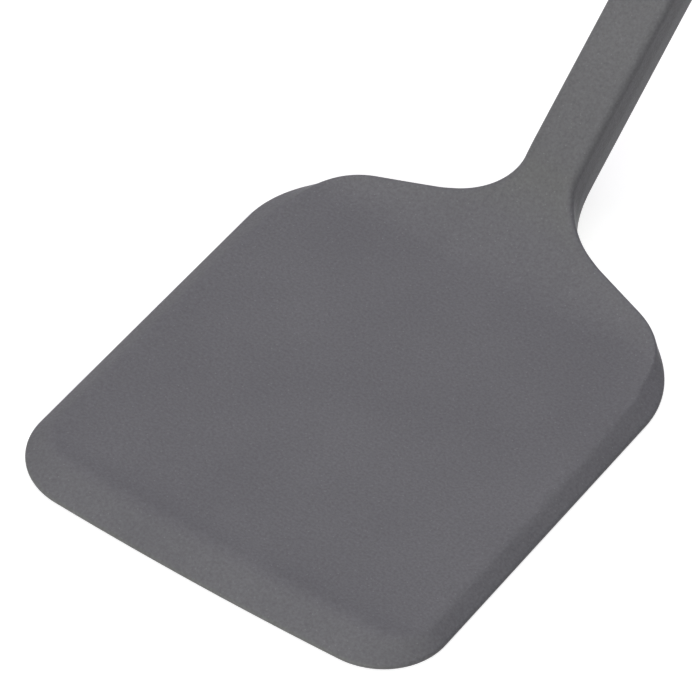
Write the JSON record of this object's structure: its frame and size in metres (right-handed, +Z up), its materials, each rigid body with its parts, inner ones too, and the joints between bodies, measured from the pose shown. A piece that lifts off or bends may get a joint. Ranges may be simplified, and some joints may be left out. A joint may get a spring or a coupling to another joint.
{
  "type": "silicone turner",
  "caption": "Kitchen turner with a flat bevelled silicone blade, a bent slender neck and a slim handle with a hanging slot, moulded over a steel plate and a nylon core.",
  "frame": {"origin": "centre of the blade's flat underside", "axes": "+X across the blade, +Y from the blade's front edge towards the handle, +Z up out of the blade's top face"},
  "size_m": [0.085, 0.2615, 0.1178],
  "materials": {
    "silicone": "matt warm-violet grey silicone with a fine moulded texture",
    "stainless_steel": "plain mill-finish stainless steel",
    "nylon": "black glass-filled nylon, matt"
  },
  "bodies": {
    "root": {"silicone_skin": "silicone", "blade_plate": "stainless_steel", "handle_core_upper": "nylon", "handle_core_lower": "nylon", "core_rivet_1": "stainless_steel", "core_rivet_2": "stainless_steel", "core_rivet_3": "stainless_steel", "core_rivet_4": "stainless_steel"}
  },
  "joints": []
}
